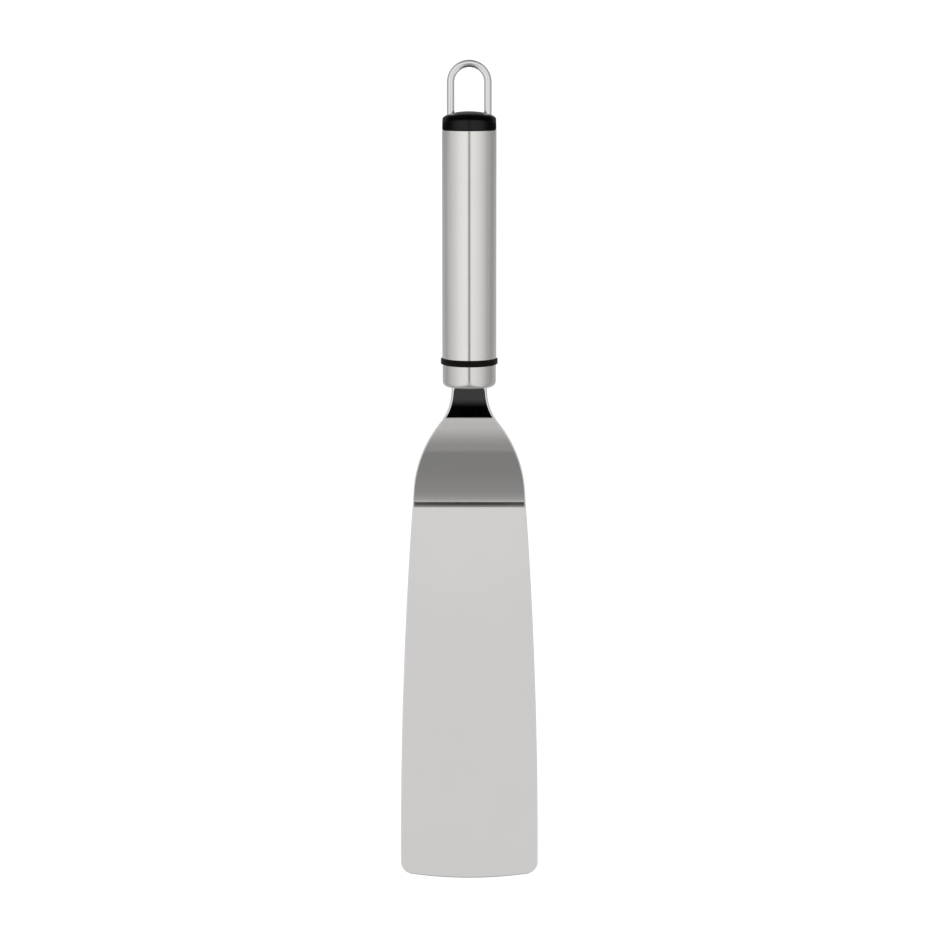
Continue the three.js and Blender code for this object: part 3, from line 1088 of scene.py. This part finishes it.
@dataclass
class Loop:
    """The bent wire that the spatula hangs by, with upset ends under the cap."""

    handle: Handle
    wire_radius: float = 1.5 * MM
    half_span: float = 7.5 * MM
    arch: float = 123.05 * MM
    foot: float = 93.4 * MM
    head_radius: float = 2.2 * MM
    head_height: float = 1.0 * MM
    sides: int = 32
    arch_steps: int = 64
    leg_steps: int = 4
    finish: Steel = Steel((0.78, 0.778, 0.774), 0.14, 0.04, Grain.ALONG, 2e-7, TILT)

    def dress(self) -> None:
        """Draws the wire up one leg, over the arch and down the other, and gives it its finish."""
        bench = Bench("wire_loop")
        neck = self.wire_radius / self.head_radius
        left = -self.half_span
        top = self.foot + self.head_height
        step = (self.arch - top) / self.leg_steps
        # The first head, its step down to the wire, and the first leg
        bench.circle(self.sides, self.head_radius, (left, self.foot, 0.0))
        bench.fill()
        bench.pick_all()
        bpy.ops.mesh.extrude_region()
        bench.move((0.0, self.head_height, 0.0))
        bpy.ops.mesh.extrude_region()
        bench.scale((neck, 1.0, neck), (left, top, 0.0))
        for _ in range(self.leg_steps):
            bench.extrude((0.0, step, 0.0))
        # The arch, from the open end of that leg
        bpy.ops.mesh.delete(type="ONLY_FACE")
        bench.pick(lambda at: at.y > self.arch - NEAR)
        bpy.ops.mesh.spin(steps=self.arch_steps, angle=math.pi, center=(0.0, self.arch, 0.0),
                          axis=(0.0, 0.0, 1.0), use_auto_merge=False)
        # The second leg and its head
        for _ in range(self.leg_steps):
            bench.extrude((0.0, -step, 0.0))
        bpy.ops.mesh.extrude_region()
        bench.scale((1.0 / neck, 1.0, 1.0 / neck), (self.half_span, top, 0.0))
        bench.extrude((0.0, -self.head_height, 0.0))
        bench.fill()
        wire = bench.finish()
        self.handle.set_in_place(wire)
        hand_over(wire, "hanging_loop", self.finish.make("drawn_wire_steel"))


@dataclass
class InnerParts:
    """The parts inside the handle, which keep their CAD solids."""

    core_nodes: tuple[str, ...] = ("core_half_upper", "core_half_lower")
    steel_nodes: tuple[str, ...] = ("tang_pin_front", "tang_pin_rear", "loop_retainer")
    core: Moulding = Moulding((0.05, 0.052, 0.055), (0.06, 0.062, 0.065), 0.5, 0.3 * MM, 4e-6, 0.4)
    steel: Steel = Steel((0.7, 0.695, 0.69), 0.25, 0.06, Grain.AROUND, 4e-7, TILT)

    def dress(self) -> None:
        """Gives each inner solid its finish."""
        for names, finish, label in ((self.core_nodes, self.core, "core_nylon"),
                                     (self.steel_nodes, self.steel, "pin_steel")):
            material = finish.make(label)
            for name in names:
                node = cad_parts[name]
                node.data.materials.clear()
                node.data.materials.append(material)
                log.info("%s keeps its solid, in %s", name, label)


# The studio


@dataclass
class Viewpoint:
    """The photograph's view: straight down, with the handle at the top."""

    lens: float = 105.3
    sensor: float = 36.0
    place: Point = (0.3 * MM, 2.5 * MM, 1.1445)
    reach: float = 50.0

    def set_up(self) -> None:
        """Makes the camera and looks through it."""
        data = bpy.data.cameras.new("camera")
        data.lens = self.lens
        data.sensor_width = self.sensor
        data.clip_end = self.reach
        camera = bpy.data.objects.new("camera", data)
        camera.location = self.place
        bpy.context.scene.collection.objects.link(camera)
        bpy.context.scene.camera = camera


@dataclass
class Floor:
    """A pale floor that is white to the camera, keeps the object's shadow and shows in the metal; what the
    metal sees of it is painted with light and shade.

    Each span holds the two places, in metres, between which a change happens.
    """

    size: float = 12.0
    drop: float = 0.3 * MM
    tone: float = 0.46
    lift: float = 0.78
    mirror_share: float = 0.178
    # These gains and dips paint light and shade into the floor's glow that the metal sees.
    left_painted_light: float = 0.8
    left_span: Span = (-0.2, 0.0)
    near_painted_shade: float = 0.42
    near_start: Span = (0.03, 0.065)
    near_stop: Span = (0.08, 0.25)
    right_painted_shade: float = 0.6
    right_start: Span = (0.05, 0.09)
    right_stop: Span = (0.14, 0.4)
    rear_painted_shade: float = 0.75
    rear_span: Span = (0.095, 0.175)
    under_painted_light: float = 0.12
    under_start: Span = (0.006, 0.016)
    under_stop: Span = (0.02, 0.05)

    def mirrored(self, recipe: Recipe) -> Term:
        """How much of its glow the floor shows to the metal, as painted light and shade: brighter to the
        left and in a strip just beside the object, darker farther out beside it, to the right and behind.

        Args:
            recipe: the floor's recipe.

        Returns:
            The share, by place.
        """
        across, back = recipe.along("X"), recipe.along("Y")
        aside = abs(across)
        # Painted light to the left, painted shade beside the object, to the right and behind, and a painted
        # strip of light close beside it.
        share = self.mirror_share * (1.0 + self.left_painted_light * (1.0 - across.rise(*self.left_span)))
        share = share * (1.0 - self.near_painted_shade * aside.band(self.near_start, self.near_stop))
        share = share * (1.0 - self.right_painted_shade * across.band(self.right_start, self.right_stop))
        share = share * (1.0 - self.rear_painted_shade * back.rise(*self.rear_span))
        return share + self.under_painted_light * aside.band(self.under_start, self.under_stop)

    def set_up(self) -> None:
        """Lays the floor and gives it its material."""
        bpy.ops.object.select_all(action="DESELECT")
        bpy.ops.mesh.primitive_plane_add(size=self.size, location=(0.0, 0.0, -self.drop))
        floor = bpy.context.object
        floor.name = "floor"
        material = bpy.data.materials.new("pale_floor")
        recipe = Recipe(material)
        matt = recipe.node("ShaderNodeBsdfDiffuse", {}, {"Color": (self.tone, self.tone, self.tone, 1.0)})
        camera, glossy, through = (recipe.node("ShaderNodeLightPath", {}, {}, ray) for ray in (
            "Is Camera Ray", "Is Glossy Ray", "Is Transmission Ray"))
        # Glossy and transmission rays see the floor's glow with its painted light and shade.
        lift = self.lift * (camera + self.mirrored(recipe) * (glossy + through))
        glow = recipe.node("ShaderNodeEmission", {}, {"Color": WHITE, "Strength": lift})
        recipe.output("ShaderNodeOutputMaterial", recipe.node("ShaderNodeAddShader", {}, {0: matt, 1: glow}))
        floor.data.materials.append(material)


@dataclass
class Tent:
    """The soft light all round: bright above, dimmer low down and ahead, with a dark seam in front.

    Each span holds the two values of a direction's part between which a change happens.
    """

    horizon: float = 0.54
    left_bias: float = 0.09
    left_glow: float = 0.045
    left_start: Span = (0.1, 0.4)
    left_stop: Span = (0.65, 0.9)
    lens_gap: float = 0.8
    lens_rim: Span = (0.970, 0.988)
    lens_shine: float = 0.05
    lens_core: Span = (0.9985, 0.9998)
    front_level: float = 0.65
    front_start: Span = (0.5, 0.62)
    front_fall: float = 0.31
    fall_span: Span = (0.62, 0.79)
    front_step: float = 0.075
    step_span: Span = (0.797, 0.825)
    front_glow: float = 0.15
    glow_span: Span = (0.85, 0.89)
    side_level: float = 0.86
    side_start: Span = (0.15, 0.4)
    side_fall: float = 0.53
    side_span: Span = (0.7, 1.02)
    rear_level: float = 0.2
    rear_start: Span = (0.74, 0.86)
    seam_sides: Span = (0.01, 0.125)
    seam_start: Span = (0.165, 0.2)
    seam_stop: Span = (0.622, 0.6305)
    line_level: float = 0.22
    line_span: Span = (0.295, 0.335)
    seam_level: float = 0.055
    seam_fade: Span = (0.345, 0.45)

    def level(self, recipe: Recipe) -> Term:
        """How bright the tent is.

        Args:
            recipe: the world's recipe.

        Returns:
            The brightness, by direction.
        """
        way = recipe.node("ShaderNodeTexCoord", {}, {}, "Generated")
        x, y, z = (recipe.node("ShaderNodeSeparateXYZ", {}, {0: way}, axis) for axis in "XYZ")
        left, front, up = 0.0 - x, 0.0 - y, z.math("MAXIMUM", z, 0.0)
        low = self.horizon - self.left_bias * x
        level = low + (1.0 - low) * up + self.left_glow * left.band(self.left_start, self.left_stop)
        level = level * (1.0 - (1.0 - self.lens_gap) * up.rise(*self.lens_rim))
        level = level + self.lens_shine * up.rise(*self.lens_core)
        ahead = self.front_level - self.front_fall * front.rise(*self.fall_span)
        ahead = ahead - self.front_step * front.rise(*self.step_span)
        ahead = ahead + self.front_glow * front.rise(*self.glow_span)
        aside = self.side_level - self.side_fall * front.rise(*self.side_span)
        ahead = ahead.blend(aside, abs(x).rise(*self.side_start))
        level = level.blend(ahead, front.rise(*self.front_start))
        level = level.blend(self.rear_level, y.rise(*self.rear_start))
        seam = (1.0 - abs(x).rise(*self.seam_sides)) * front.band(self.seam_start, self.seam_stop)
        inside = self.line_level - (self.line_level - self.seam_level) * front.rise(*self.line_span)
        return level.blend(inside * (1.0 - front.rise(*self.seam_fade)), seam)

    def set_up(self) -> None:
        """Makes the world, which is plain white to the camera."""
        world = bpy.data.worlds.new("light_tent")
        bpy.context.scene.world = world
        recipe = Recipe(world)
        tent = recipe.node("ShaderNodeBackground", {}, {"Color": self.level(recipe), "Strength": 1.0})
        white = recipe.node("ShaderNodeBackground", {}, {"Color": WHITE, "Strength": 1.0})
        seen = recipe.node("ShaderNodeLightPath", {}, {}, "Is Camera Ray")
        shown = recipe.node("ShaderNodeMixShader", {}, {0: seen, 1: tent, 2: white})
        recipe.output("ShaderNodeOutputWorld", shown)


def main() -> None:
    """Sets up the studio, builds the pieces in order and reports each one."""
    logging.basicConfig(level=logging.INFO, format="%(message)s")
    for fitting in (Viewpoint(), Floor(), Tent()):
        fitting.set_up()
    bpy.context.scene.view_settings.view_transform = "Standard"
    handle = Handle()
    pieces = (Blade(handle), Ferrule(handle), Ring(handle), Tube(handle), Cap(handle), Loop(handle))
    for assembly in (*pieces, InnerParts()):
        assembly.dress()


if __name__ == "__main__":
    main()
